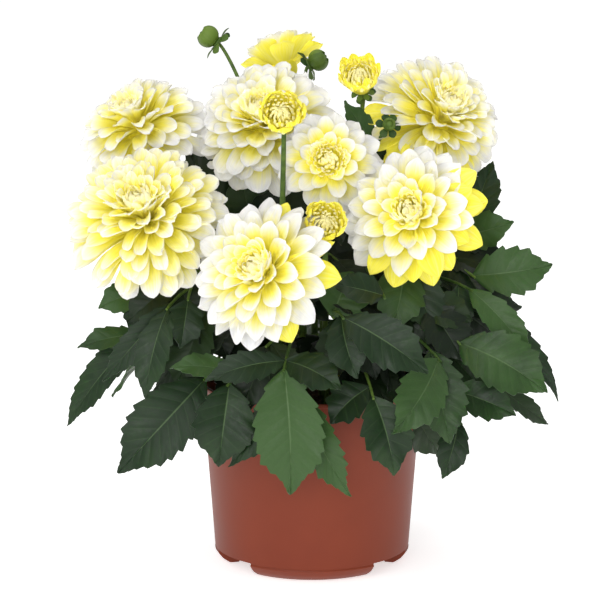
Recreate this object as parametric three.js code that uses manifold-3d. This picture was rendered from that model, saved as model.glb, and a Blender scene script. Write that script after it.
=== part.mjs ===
// A dahlia in its plastic nursery pot, in millimetres, +Z up.
// The origin is on the ground under the pot's centre, and -Y is the plant's front.
// The pot holds soil, and leafy stems stand in holes in the soil. Each stem carries compound
// leaves with toothed leaflets, and ends in a bloom or a bud of separate, spirally set petals.
// A heading is 0 at the front and 90 at +X.
import * as THREE from 'three';
import { mergeVertices } from 'three/addons/utils/BufferGeometryUtils.js';
import Module from 'manifold-3d';

const wasm = await Module();
wasm.setup();

// Pot: a tapered shell on four feet, with a notch between each two feet
const POT_HEIGHT = 139;
const POT_RIM_R = 85;
const POT_TOP_R = 83.6;
const POT_LOW_R = 74.2;
const POT_WALL = 1.8;
const POT_SIDES = 28;
const RIM_HEIGHT = 3;
const FOOT_HEIGHT = 11;
const FOOT_OUTER_R = 65;
const SHOULDER_R = 71;
const FOOT_INNER_R = 58;
const FLOOR_UNDER_Z = 4;
const FLOOR_TOP_Z = 8;
const FLOOR_R = 54;
const WALL_FOOT_Z = 20;
const NOTCH_WIDTH_DEG = 34.5;
const NOTCH_HEADINGS_DEG = [55.75, 124.25, -124.25, -55.75];

// Soil: fills the pot to a little under its rim
const SOIL_EDGE_Z = 123;
const SOIL_CROWN = 5;
const SOIL_CLEARANCE = 0.4;
const SOIL_RINGS = [0.35, 0.7];
const SOIL_SIDES = 16;

// Stems
const STEM_FOOT_Z = 106;
const STEM_RISE_Z = 151;
const STEM_CLIMB = 0.4;
const STEM = { radius: 3, sides: 4, steps: 7 };
const BRANCH = { radius: 1.7, sides: 4, steps: 5 };
const LEAF_STALK = { radius: 1.7, sides: 3, steps: 2 };
const HOLE_CLEARANCE = 0.4;
const HOLE_SIDES = 6;
const CALYX_GAP = 0.4;
const CALYX_DEPTH = 0.8;
const BRACT_REACH = 1.9;

// Blades
const LEAF_THICKNESS = 0.8;
const PETAL_THICKNESS = 0.8;
const GOLDEN_ANGLE = Math.PI * (3 - Math.sqrt(5));

const UP = new THREE.Vector3(0, 0, 1);
const degrees = THREE.MathUtils.degToRad;
const lerp = THREE.MathUtils.lerp;
const vec = (x, y, z) => new THREE.Vector3(x, y, z);

// A unit vector from a heading, 0 at the front and 90 at +X, and a height above the horizon.
function direction(headingDeg, elevationDeg) {
  const h = degrees(headingDeg);
  const e = degrees(elevationDeg);
  return vec(Math.sin(h) * Math.cos(e), -Math.cos(h) * Math.cos(e), Math.sin(e));
}

// A repeatable number from 0 to 1 for a pair of whole numbers.
function chance(seed, index) {
  const s = Math.sin(seed * 12.9898 + index * 78.233) * 43758.5453;
  return s - Math.floor(s);
}

// Materials
const finish = (color, roughness) => new THREE.MeshStandardMaterial({ color, roughness, metalness: 0 });
const MATERIALS = {
  pot: finish(0x9a5038, 0.45),
  soil: finish(0x2c2018, 0.95),
  foliage: finish(0x35542c, 0.5),
  petals: finish(0xf6efb4, 0.6),
  yellow: finish(0xe8dc3a, 0.6),
};

// Solids
function solidOf(geometry) {
  const bare = geometry.index ? geometry.toNonIndexed() : geometry.clone();
  bare.deleteAttribute('normal');
  bare.deleteAttribute('uv');
  const merged = mergeVertices(bare, 1e-3);
  return new wasm.Manifold(
    new wasm.Mesh({
      numProp: 3,
      vertProperties: merged.attributes.position.array,
      triVerts: new Uint32Array(merged.index.array),
    }),
  );
}

// The largest body of a solid, with any hollow that is sealed inside it filled.
function wholeBody(solid) {
  return solid.decompose().reduce((largest, body) => (body.volume() > largest.volume() ? body : largest));
}

const FINEST_DETAIL = 0.06;
function meshOf(name, solid, material) {
  const { vertProperties, triVerts } = wholeBody(solid).simplify(FINEST_DETAIL).getMesh();
  const geometry = new THREE.BufferGeometry();
  geometry.setAttribute('position', new THREE.BufferAttribute(vertProperties, 3));
  geometry.setIndex(new THREE.BufferAttribute(triVerts, 1));
  geometry.computeVertexNormals();
  const mesh = new THREE.Mesh(geometry, material);
  mesh.name = name;
  return mesh;
}

const fuse = (solids) => wasm.Manifold.union(solids);

// A closed thin blade. points are its middle surface, each with half its thickness there, and
// faces are their triangles, the same on both sides. A point with no thickness is a pinned root.
function thicken(points, faces) {
  const normals = points.map(() => vec(0, 0, 0));
  for (const face of faces) {
    const [a, b, c] = face.map((index) => points[index].at);
    const normal = b.clone().sub(a).cross(c.clone().sub(a));
    face.forEach((index) => normals[index].add(normal));
  }
  const side = (sign) => points.map(({ at, half }, index) =>
    at.clone().addScaledVector(normals[index].clone().normalize(), sign * half));
  const corners = [...side(1), ...side(-1)];
  const under = (index) => (points[index].half ? index + points.length : index);
  const edges = new Set(faces.flatMap(([a, b, c]) => [`${a},${b}`, `${b},${c}`, `${c},${a}`]));
  const triangles = faces.flatMap(([a, b, c]) => [[a, b, c], [under(a), under(c), under(b)]]);
  for (const edge of edges) {
    const [a, b] = edge.split(',').map(Number);
    const rim = !edges.has(`${b},${a}`);
    if (rim) triangles.push([b, a, under(a)], [b, under(a), under(b)]);
  }
  const places = triangles
    .filter((triangle) => new Set(triangle).size === 3)
    .flatMap((triangle) => triangle.flatMap((index) => corners[index].toArray()));
  const geometry = new THREE.BufferGeometry();
  geometry.setAttribute('position', new THREE.Float32BufferAttribute(places, 3));
  return solidOf(geometry);
}

// A blade between a spine and the outlines on its left and right. Every point is
// { at, u, half }: its place, how far along the blade it is, and half the thickness there.
function blade(spine, left, right) {
  const points = [...spine, ...left, ...right];
  const faces = [];
  const stitch = (edge, turned) => {
    const rim = [spine[0], ...edge, spine[spine.length - 1]];
    let i = 0;
    let j = 0;
    while (i < spine.length - 1 || j < rim.length - 1) {
      const onSpine = j === rim.length - 1 || (i < spine.length - 1 && spine[i + 1].u <= rim[j + 1].u);
      const corners = onSpine ? [spine[i], spine[i + 1], rim[j]] : [spine[i], rim[j + 1], rim[j]];
      if (onSpine) i += 1;
      else j += 1;
      if (new Set(corners).size < 3) continue;
      const face = corners.map((corner) => points.indexOf(corner));
      faces.push(turned ? face.reverse() : face);
    }
  };
  stitch(left, false);
  stitch(right, true);
  return thicken(points, faces);
}

// Petals

// A point of a petal that starts in the core and bends as it goes out. The bloom faces +Z, and
// lean is the angle from +Z. u runs from root to tip, and v from edge to edge, -1 to 1.
function petalPoint(petal, u, v) {
  const lean = petal.lean + petal.bend * u;
  const halfBend = (petal.bend * u) / 2;
  const chord = petal.length * u * (halfBend ? Math.sin(halfBend) / halfBend : 1);
  const out = petal.rootR + chord * Math.sin(petal.lean + halfBend);
  const up = petal.rootZ + chord * Math.cos(petal.lean + halfBend);
  const across = petal.halfWidth * v;
  const cup = petal.cup * petal.halfWidth * v * v;
  const r = out - Math.cos(lean) * cup;
  const z = up + Math.sin(lean) * cup;
  const c = Math.cos(petal.turn);
  const s = Math.sin(petal.turn);
  return vec(r * c - across * s, r * s + across * c, z);
}

// A petal is widest past its middle, thickest at its rib, and comes to a point at both ends.
const PETAL_MIDDLE = 0.6;
const PETAL_WIDEST = 0.76;
const PETAL_RIB = 1.5;
const ROOT_SHARE = 0.4;
const CORE_SEAT = 0.85;
function petalSolid(petal) {
  const half = PETAL_THICKNESS / 2;
  const row = (u, v, share) => ({ at: petalPoint(petal, u, v), u, half: half * share });
  const spine = [row(0, 0, 0), row(PETAL_MIDDLE, 0, PETAL_RIB), row(1, 0, 1)];
  return blade(spine, [row(PETAL_WIDEST, 1, 1)], [row(PETAL_WIDEST, -1, 1)]);
}

// The petals of a bloom, from the outermost, t = 0, to the innermost, t = 1, spread evenly over
// the dome between their two leans.
function bloomPetals({ diameter, count, style }) {
  const radius = diameter / 2;
  const between = ([outer, inner], t) => lerp(outer, inner, t);
  const rootShare = style.coreR * ROOT_SHARE;
  return Array.from({ length: count }, (_, index) => {
    const t = index / (count - 1);
    const chord = Math.acos(lerp(Math.cos(degrees(style.lean[0])), Math.cos(degrees(style.lean[1])), t));
    const bend = degrees(between(style.bend, t));
    return {
      turn: index * GOLDEN_ANGLE,
      lean: chord - bend / 2,
      bend,
      length: radius * (between(style.length, t * t) - rootShare),
      halfWidth: radius * between(style.width, t),
      cup: between(style.cup, t),
      rootR: radius * rootShare * Math.sin(chord),
      rootZ: radius * (style.coreR * CORE_SEAT + rootShare * Math.cos(chord)),
    };
  });
}

function bloomSolid(bloom) {
  const radius = bloom.diameter / 2;
  const coreR = radius * bloom.style.coreR;
  const core = new THREE.IcosahedronGeometry(coreR).translate(0, 0, coreR * CORE_SEAT);
  return fuse([solidOf(core), ...bloomPetals(bloom).map(petalSolid)]);
}

// How blooms open. Angles are in degrees from the way the bloom faces and lengths are shares of
// its radius, each for the outermost and then the innermost petal. The core is a small ball,
// cupR is the green cup behind it, and neckShare is how much of the stem points the way it faces.
const FULL = {
  lean: [100, 12],
  bend: [30, -30],
  length: [1.05, 0.82],
  width: [0.25, 0.14],
  cup: [0.3, 0.6],
  coreR: 0.24,
  cupR: 0.18,
  neckShare: 0.35,
};
const OPEN = {
  lean: [96, 24],
  bend: [24, -50],
  length: [1.05, 0.62],
  width: [0.28, 0.13],
  cup: [0.3, 0.6],
  coreR: 0.26,
  cupR: 0.18,
  neckShare: 0.35,
};
const CUPPED = {
  lean: [70, 20],
  bend: [-14, -50],
  length: [1.05, 0.8],
  width: [0.3, 0.16],
  cup: [0.4, 0.6],
  coreR: 0.26,
  cupR: 0.18,
  neckShare: 0.35,
};
const BUDDING = {
  lean: [34, 24],
  bend: [-116, -122],
  length: [1.9, 1.5],
  width: [0.5, 0.34],
  cup: [0.5, 0.5],
  coreR: 0.52,
  cupR: 0.36,
  neckShare: 0.1,
};

// Blooms and opening buds: heart is where the petals meet, faces is the heading and elevation
// that the bloom faces, and foot is where its stem stands in the soil.
const BLOOMS = {
  left_large: {
    style: FULL, diameter: 120, count: 32, heart: [-114, -60, 262], faces: [-23, 43], foot: [-22, -10],
  },
  front: {
    style: OPEN, diameter: 108, count: 24, heart: [-27, -107, 237], faces: [-35, 26], foot: [-8, -26],
  },
  right: {
    style: OPEN, diameter: 102, count: 24, heart: [76, -60, 271], faces: [-17, 25], foot: [24, -16],
  },
  right_top: {
    style: FULL, diameter: 108, count: 27, heart: [91, 20, 323], faces: [27, 48], foot: [34, 6],
  },
  middle_top: {
    style: FULL, diameter: 108, count: 27, heart: [-34, 14, 321], faces: [-13, 46], foot: [-6, 4],
  },
  left_top: {
    style: FULL, diameter: 98, count: 26, heart: [-126, 30, 318], faces: [-34, 50], foot: [-28, 16],
  },
  centre_small: {
    style: OPEN, diameter: 74, count: 21, heart: [13, -42, 310], faces: [-5, 20], foot: [8, -6],
  },
  back_cupped: {
    style: CUPPED, diameter: 76, count: 15, heart: [-20, 84, 366], faces: [-140, 66], foot: [2, 28],
  },
  bud_right: {
    style: BUDDING, diameter: 30, count: 7, heart: [37, -12, 361], faces: [-12, 44], foot: [18, 18],
  },
  bud_middle: {
    style: BUDDING, diameter: 32, count: 7, heart: [-21, -78, 348], faces: [-3, 22], foot: [-24, -46],
  },
  bud_front: {
    style: BUDDING, diameter: 30, count: 7, heart: [7, -86, 272], faces: [0, 20], foot: [10, -30],
  },
};

function bloomMesh(name, bloom) {
  const opening = bloom.style === BUDDING;
  const fullName = opening ? `opening_${name}` : `bloom_${name}`;
  const mesh = meshOf(fullName, bloomSolid(bloom), opening ? MATERIALS.yellow : MATERIALS.petals);
  mesh.quaternion.setFromUnitVectors(UP, direction(...bloom.faces));
  mesh.position.set(...bloom.heart);
  return mesh;
}

// Leaves

// Half-width of a leaflet along its length, 1 at its widest.
const LEAFLET_PEAK = (0.47 ** 0.75) * (0.53 ** 0.85);
const leafletWidth = (u) => (u ** 0.75 * (1 - u) ** 0.85) / LEAFLET_PEAK;

// A toothed leaflet from its base to its tip. It arches between its ends, its halves fold up a
// little from the midrib, and it is turned about the midrib by its twist from facing.
const TOOTH_DEPTH = 0.2;
const TOOTH_LEAN = 0.3;
const LEAF_ARCH = 0.08;
const LEAF_FOLD = 0.2;
const LEAF_TWIST = 0.25;
const LEAF_ROOT = 1.75;
const LONG_LEAFLET = 80;
function leafletSolid(base, tip, width, facing, twist) {
  const along = tip.clone().sub(base);
  const teeth = along.length() > LONG_LEAFLET ? 4 : 3;
  const side = facing.clone().cross(along).normalize().applyAxisAngle(along.clone().normalize(), twist);
  const normal = along.clone().cross(side).normalize();
  const point = (u, v) => {
    const lift = along.length() * LEAF_ARCH * 4 * u * (1 - u) + Math.abs(v) * LEAF_FOLD * width / 2;
    const at = base.clone().addScaledVector(along, u);
    at.addScaledVector(normal, lift).addScaledVector(side, (v * width) / 2);
    return { at, u, half: (LEAF_THICKNESS / 2) * (u ? 1 : LEAF_ROOT) };
  };
  const outline = (sign) => Array.from({ length: teeth }, (_, k) => {
    const notchU = k / teeth;
    const toothU = (k + 0.5 + TOOTH_LEAN) / teeth;
    const tooth = point(toothU, sign * leafletWidth((k + 0.5) / teeth));
    const notch = point(notchU, sign * leafletWidth(notchU) * (1 - TOOTH_DEPTH));
    return k ? [notch, tooth] : [tooth];
  }).flat();
  const spine = [0, 1 / 3, 2 / 3, 1].map((u) => point(u, 0));
  return blade(spine, outline(-1), outline(1));
}

// Compound leaves that the front shows, by the stem that carries them. from is how far up the
// stem the leaf stalk starts, node is where the leaflets spread from it, and each leaflet is its
// tip's x, y and z and its width.
const FRONT_LEAVES = {
  left_large: [
    { from: 0.45, node: [-79, -80, 156], leaflets: [[-142, -94, 90, 43]] },
    { from: 0.7, node: [-106, -80, 209], leaflets: [[-121, -94, 146, 24], [-153, -84, 156, 19]] },
    { from: 0.6, node: [-130, -52, 183], leaflets: [[-173, -58, 176, 18], [-178, -52, 117, 23]] },
    { from: 0.8, node: [-126, -40, 214], leaflets: [[-158, -46, 203, 21], [-135, -50, 185, 19]] },
    { from: 0.75, node: [-91, -72, 214], leaflets: [[-96, -84, 181, 25]] },
  ],
  front: [
    {
      from: 0.62, node: [-21, -112, 170],
      leaflets: [[-16, -116, 80, 51], [-77, -118, 164, 21], [20, -124, 159, 27]],
    },
    { from: 0.42, node: [-9, -100, 151], leaflets: [[28, -110, 77, 24], [-61, -106, 98, 24]] },
    { from: 0.5, node: [-62, -98, 156], leaflets: [[-68, -106, 98, 41], [-103, -98, 169, 19]] },
  ],
  right: [
    { from: 0.5, node: [93, -88, 172], leaflets: [[57, -124, 127, 33], [100, -98, 113, 36]] },
    { from: 0.35, node: [44, -104, 148], leaflets: [[59, -112, 93, 34], [13, -100, 128, 29]] },
    { from: 0.6, node: [109, -70, 180], leaflets: [[171, -86, 148, 41]] },
  ],
  right_top: [
    {
      from: 0.5, node: [118, -50, 217],
      leaflets: [[160, -64, 170, 22], [109, -57, 180, 19], [183, -44, 132, 18]],
    },
    { from: 0.6, node: [121, -34, 224], leaflets: [[178, -34, 234, 34]] },
    { from: 0.7, node: [117, -8, 246], leaflets: [[136, 10, 305, 29], [150, -20, 264, 26]] },
    { from: 0.3, node: [105, -60, 142], leaflets: [[150, -68, 127, 27]] },
    { from: 0.2, node: [111, -56, 117], leaflets: [[96, -68, 79, 22]] },
  ],
  centre_small: [
    { from: 0.7, node: [74, -40, 237], leaflets: [[66, -52, 199, 42]] },
  ],
  middle_top: [
    { from: 0.6, node: [-73, -46, 212], leaflets: [[-80, -58, 192, 24], [-59, -36, 253, 34]] },
  ],
  bud_right: [
    { from: 0.8, node: [48, -12, 317], leaflets: [[24, -2, 352, 17]] },
    { from: 0.5, node: [52, -95, 220], leaflets: [[14, -102, 232, 23]] },
    { from: 0.6, node: [68, -52, 239], leaflets: [[56, -74, 191, 33], [91, -64, 184, 31]] },
  ],
  bud_front: [
    { from: 0.5, node: [15, -76, 202], leaflets: [[29, -64, 234, 36]] },
    { from: 0.5, node: [22, -114, 209], leaflets: [[82, -124, 171, 33], [32, -126, 168, 28]] },
  ],
};

// Leaves of the sides and back, each by its heading, height, reach from the middle and drop.
const BACK_LEAVES = {
  right_top: [
    { from: 0.35, heading: 82, height: 178, reach: 150, drop: 62 },
    { from: 0.68, heading: 112, height: 228, reach: 160, drop: 30 },
  ],
  back_cupped: [
    { from: 0.25, heading: 134, height: 168, reach: 152, drop: 66 },
    { from: 0.5, heading: 152, height: 225, reach: 150, drop: 34 },
    { from: 0.3, heading: 178, height: 165, reach: 158, drop: 70 },
    { from: 0.55, heading: 195, height: 245, reach: 135, drop: 26 },
  ],
  left_top: [
    { from: 0.3, heading: 222, height: 192, reach: 152, drop: 56 },
    { from: 0.5, heading: 238, height: 226, reach: 160, drop: 36 },
    { from: 0.35, heading: 262, height: 180, reach: 155, drop: 60 },
  ],
};

// A leaf of the sides and back spreads a long leaflet outwards and a shorter one to each side.
const BACK_NODE_SHARE = 0.52;
const SIDE_ANGLE = 58;
const SIDE_SHARE = 0.78;
function backLeaf({ from, heading, height, reach, drop }) {
  const start = reach * BACK_NODE_SHARE;
  const length = reach - start;
  const node = direction(heading, 0).multiplyScalar(start).setZ(height);
  const leaflet = (turn, share, width) => {
    const tip = direction(heading + turn, 0).multiplyScalar(length * share).add(node);
    return [tip.x, tip.y, height - drop * share, width];
  };
  const leaflets = [
    leaflet(0, 1, length * 0.5),
    leaflet(SIDE_ANGLE, SIDE_SHARE, length * 0.36),
    leaflet(-SIDE_ANGLE, SIDE_SHARE, length * 0.36),
  ];
  return { from, heading, node: node.toArray(), leaflets };
}

// A leaf stalk climbs over the pot's rim and ends just past where the leaflets are sunk into it.
const STALK_SINK = 0.96;
const FRONT_FACING = vec(0, -1, 0);
const LEAF_LIFT = 0.6;
const LEAFLET_STEP = 0.12;
const STALK_CLIMB = 0.12;
const STALK_BEND = 0.6;
const RIM_TO_STALK = 14;
function leafSolid(leaf, stem, seed) {
  const node = vec(...leaf.node);
  const root = stem.getPoint(leaf.from);
  const rise = root.clone().lerp(node, STALK_BEND).addScaledVector(UP, root.distanceTo(node) * STALK_CLIMB);
  rise.z = Math.max(rise.z, POT_HEIGHT + RIM_TO_STALK);
  const stalk = new THREE.QuadraticBezierCurve3(root, rise, node);
  const outwards = leaf.heading === undefined ? FRONT_FACING : direction(leaf.heading, 0);
  const facing = outwards.clone().addScaledVector(UP, LEAF_LIFT);
  const leaflets = leaf.leaflets.map(([x, y, z, width], k) => {
    const base = stalk.getPoint(STALK_SINK - Math.ceil(k / 2) * LEAFLET_STEP);
    const twist = lerp(-LEAF_TWIST, LEAF_TWIST, chance(seed, k));
    return leafletSolid(base, vec(x, y, z), width, facing, twist);
  });
  return fuse([tube(stalk, LEAF_STALK), ...leaflets]);
}

// Stems

// Closed green buds, by the stem that they branch from. from is how far up that stem it is.
const GREEN_BUDS = {
  middle_top: { from: 0.75, heart: [-74, 56, 391], faces: [-90, 34], radius: 7.2 },
  back_cupped: { from: 0.6, heart: [0, 70, 372], faces: [80, 30], radius: 7 },
  bud_right: { from: 0.6, heart: [56, -30, 337], faces: [5, 20], radius: 4 },
};

function tube(curve, { radius, sides, steps }) {
  const ring = Array.from({ length: sides }, (_, k) => {
    const angle = (k / sides) * Math.PI * 2;
    return new THREE.Vector2(radius * Math.cos(angle), radius * Math.sin(angle));
  });
  const options = { steps, extrudePath: curve, bevelEnabled: false };
  return solidOf(new THREE.ExtrudeGeometry(new THREE.Shape(ring), options));
}

// A stem stands straight in its hole, and comes up to its flower from behind.
function stemCurve({ foot, neckShare, heart, axis, cupR }) {
  const low = vec(...foot, STEM_FOOT_Z);
  const rise = vec(...foot, STEM_RISE_Z);
  const end = heart.clone().addScaledVector(axis, -CALYX_GAP - (cupR * CALYX_DEPTH) / 2);
  const climb = rise.clone().addScaledVector(UP, (end.z - rise.z) * STEM_CLIMB);
  const neck = end.clone().addScaledVector(axis, -neckShare * end.distanceTo(rise));
  const curve = new THREE.CurvePath();
  curve.add(new THREE.LineCurve3(low, rise));
  curve.add(new THREE.CubicBezierCurve3(rise, climb, neck, end));
  return curve;
}

// The green cup of bracts behind a flower, as a star.
const BRACTS = 5;
function calyx(heart, axis, radius) {
  const depth = radius * CALYX_DEPTH;
  const star = [{ at: vec(0, 0, -CALYX_GAP - depth / 2), half: depth / 2 }];
  for (let k = 0; k < BRACTS * 2; k += 1) {
    const tip = k % 2 === 0;
    const out = direction((k * 180) / BRACTS, 0).multiplyScalar(radius * (tip ? BRACT_REACH : 1));
    star.push({ at: out.setZ(-CALYX_GAP - LEAF_THICKNESS), half: LEAF_THICKNESS / 2 });
  }
  const faces = star.slice(1).map((_, k) => [0, k + 1, ((k + 1) % (BRACTS * 2)) + 1]);
  return thicken(star, faces).transform(facingMatrix(heart, axis));
}

function facingMatrix(heart, axis) {
  const turn = new THREE.Quaternion().setFromUnitVectors(UP, axis);
  return new THREE.Matrix4().compose(heart, turn, vec(1, 1, 1)).elements;
}

// A green bud sits a little into its cup of bracts, on a thin branch that bends up to it.
const BUD_SEAT = 0.8;
const BRANCH_CLIMB = 20;
const BRANCH_NECK = 12;
function greenBud(bud, stem) {
  const axis = direction(...bud.faces);
  const heart = vec(...bud.heart);
  const cupR = bud.radius * BUD_SEAT;
  const ball = new THREE.IcosahedronGeometry(bud.radius, 1).translate(0, 0, cupR);
  const root = stem.getPoint(bud.from);
  const climb = root.clone().lerp(heart, 0.4).addScaledVector(UP, BRANCH_CLIMB);
  const neck = heart.clone().addScaledVector(axis, -BRANCH_NECK);
  const end = heart.clone().addScaledVector(axis, -CALYX_GAP - (cupR * CALYX_DEPTH) / 2);
  return fuse([
    solidOf(ball).transform(facingMatrix(heart, axis)),
    calyx(heart, axis, cupR),
    tube(new THREE.CubicBezierCurve3(root, climb, neck, end), BRANCH),
  ]);
}

// A stem with its cup of bracts, leaves and green bud, as one body.
function leafyStem(name, { heart: place, faces, foot, diameter, style }) {
  const heart = vec(...place);
  const axis = direction(...faces);
  const cupR = (diameter / 2) * style.cupR;
  const stem = stemCurve({ foot, neckShare: style.neckShare, heart, axis, cupR });
  const parts = [tube(stem, STEM), calyx(heart, axis, cupR)];
  if (GREEN_BUDS[name]) parts.push(greenBud(GREEN_BUDS[name], stem));
  const leaves = [...(FRONT_LEAVES[name] ?? []), ...(BACK_LEAVES[name] ?? []).map(backLeaf)];
  leaves.forEach((leaf, index) => parts.push(leafSolid(leaf, stem, diameter + index)));
  return meshOf(`stem_${name}`, fuse(parts), MATERIALS.foliage);
}

// Pot and soil

function potMesh() {
  const wallTopZ = POT_HEIGHT - RIM_HEIGHT;
  const profile = [
    [0, FLOOR_UNDER_Z],
    [FOOT_INNER_R - 1, FLOOR_UNDER_Z],
    [FOOT_INNER_R, 0],
    [FOOT_OUTER_R, 0],
    [SHOULDER_R, FLOOR_UNDER_Z],
    [POT_LOW_R + 0.4, 9],
    [POT_LOW_R, FOOT_HEIGHT],
    [POT_TOP_R, wallTopZ],
    [POT_RIM_R, wallTopZ],
    [POT_RIM_R, POT_HEIGHT],
    [POT_TOP_R - POT_WALL, POT_HEIGHT],
    [POT_LOW_R - POT_WALL, WALL_FOOT_Z],
    [FLOOR_R, FLOOR_TOP_Z],
    [0, FLOOR_TOP_Z],
  ];
  const shell = new THREE.LatheGeometry(profile.map(([r, z]) => new THREE.Vector2(r, z)), POT_SIDES);
  let solid = solidOf(shell.rotateX(Math.PI / 2));
  for (const heading of NOTCH_HEADINGS_DEG) {
    solid = solid.subtract(notch(heading));
  }
  return meshOf('pot', solid, MATERIALS.pot);
}

// The wedge of space between two feet, which also opens a drain slot into the pot.
function notch(heading) {
  const corner = (turn, radius) => {
    const at = direction(heading + turn, 0).multiplyScalar(radius);
    return new THREE.Vector2(at.x, at.y);
  };
  const half = NOTCH_WIDTH_DEG / 2;
  const outer = POT_RIM_R * 1.2;
  const inner = FOOT_INNER_R - 2;
  const corners = [corner(-half, inner), corner(-half, outer), corner(half, outer), corner(half, inner)];
  const shape = new THREE.Shape(corners);
  const wedge = new THREE.ExtrudeGeometry(shape, { depth: FOOT_HEIGHT + 1, bevelEnabled: false });
  return solidOf(wedge.translate(0, 0, -1));
}

function soilMesh() {
  const upTheWall = (SOIL_EDGE_Z - FOOT_HEIGHT) / (POT_HEIGHT - RIM_HEIGHT - FOOT_HEIGHT);
  const edgeR = lerp(POT_LOW_R, POT_TOP_R, upTheWall) - POT_WALL - SOIL_CLEARANCE * 2;
  const profile = [
    [0, FLOOR_TOP_Z + SOIL_CLEARANCE],
    [FLOOR_R - SOIL_CLEARANCE, FLOOR_TOP_Z + SOIL_CLEARANCE],
    [POT_LOW_R - POT_WALL - SOIL_CLEARANCE * 2, WALL_FOOT_Z + SOIL_CLEARANCE],
    [edgeR, SOIL_EDGE_Z],
    ...SOIL_RINGS.map((share) => [edgeR * (1 - share), SOIL_EDGE_Z + SOIL_CROWN * share]),
    [0, SOIL_EDGE_Z + SOIL_CROWN],
  ];
  const geometry = new THREE.LatheGeometry(profile.map(([r, z]) => new THREE.Vector2(r, z)), SOIL_SIDES);
  geometry.rotateX(Math.PI / 2);
  const position = geometry.attributes.position;
  for (let k = 0; k < position.count; k += 1) {
    const x = position.getX(k);
    const y = position.getY(k);
    const inside = Math.hypot(x, y) < edgeR - 2 && position.getZ(k) > SOIL_EDGE_Z;
    const crumb = Math.sin(x * 0.31 + 1) * Math.cos(y * 0.37) + Math.sin(x * 0.13 - y * 0.17);
    if (inside) position.setZ(k, position.getZ(k) + crumb);
  }
  let solid = solidOf(geometry);
  const holeR = (STEM.radius + HOLE_CLEARANCE) / Math.cos(Math.PI / HOLE_SIDES);
  const holeDepth = 40;
  for (const { foot } of Object.values(BLOOMS)) {
    const hole = new THREE.CylinderGeometry(holeR, holeR, holeDepth, HOLE_SIDES);
    hole.rotateX(Math.PI / 2).translate(...foot, STEM_FOOT_Z - HOLE_CLEARANCE + holeDepth / 2);
    solid = solid.subtract(solidOf(hole));
  }
  return meshOf('soil', solid, MATERIALS.soil);
}

const plant = new THREE.Group();
plant.add(potMesh(), soilMesh());
for (const [name, bloom] of Object.entries(BLOOMS)) {
  plant.add(leafyStem(name, bloom), bloomMesh(name, bloom));
}

export default plant;
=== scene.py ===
"""A potted dahlia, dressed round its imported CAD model. Shapes are worked out in millimetres."""
import math

import bpy
import numpy as np
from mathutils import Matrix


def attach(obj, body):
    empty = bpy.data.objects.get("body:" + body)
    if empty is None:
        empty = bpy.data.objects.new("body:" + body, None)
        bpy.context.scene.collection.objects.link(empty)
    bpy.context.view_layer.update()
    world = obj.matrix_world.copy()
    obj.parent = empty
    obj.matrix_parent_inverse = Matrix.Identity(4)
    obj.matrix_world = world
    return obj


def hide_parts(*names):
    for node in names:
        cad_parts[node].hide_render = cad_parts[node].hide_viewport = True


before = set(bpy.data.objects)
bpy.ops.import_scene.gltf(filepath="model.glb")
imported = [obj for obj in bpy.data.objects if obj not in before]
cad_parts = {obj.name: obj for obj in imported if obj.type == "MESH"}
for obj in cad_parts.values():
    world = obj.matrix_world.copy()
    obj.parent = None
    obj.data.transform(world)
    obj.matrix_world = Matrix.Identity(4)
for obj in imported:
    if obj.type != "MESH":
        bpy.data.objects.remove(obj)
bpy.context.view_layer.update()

MM = 0.001
UP = np.array([0.0, 0.0, 1.0])
GOLDEN_ANGLE = math.pi * (3 - math.sqrt(5))


# Numbers and directions

def vec(*numbers):
    return np.array(numbers, dtype=float)


def lerp(pair, share):
    return pair[0] + (pair[1] - pair[0]) * share


def unit(vector):
    return vector / max(np.linalg.norm(vector), 1e-9)


def smooth(value):
    share = np.clip(value, 0.0, 1.0)
    return share * share * (3 - 2 * share)


def chance(seed, index):
    """A number from 0 to 1 that is always the same for a seed and an index."""
    wave = math.sin(seed * 12.9898 + index * 78.233) * 43758.5453
    return wave - math.floor(wave)


def spread(seed, index, reach):
    return (chance(seed, index) * 2 - 1) * reach


def direction(heading, elevation):
    """A unit vector. Heading 0 is towards the viewer and 90 is to the right, in degrees."""
    turn, lift = math.radians(heading), math.radians(elevation)
    return vec(math.sin(turn) * math.cos(lift), -math.cos(turn) * math.cos(lift), math.sin(lift))


def turn_to(axis):
    """The matrix that turns straight up to an axis by the shortest way."""
    x, y, _ = np.cross(UP, axis)
    cross = np.array([[0, 0, y], [0, 0, -x], [-y, x, 0]])
    return np.eye(3) + cross + cross @ cross / (1 + axis[2])


def spin(axis, angle):
    """The matrix that turns by an angle about an axis."""
    x, y, z = axis
    cross = np.array([[0, -z, y], [z, 0, -x], [-y, x, 0]])
    return np.eye(3) + math.sin(angle) * cross + (1 - math.cos(angle)) * cross @ cross


# Mesh making

# On petals the eye field marks the eye florets; on leaves it carries how far painted shade darkens them.
FIELDS = ("along", "across", "tone", "gold", "under", "eye")


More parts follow.
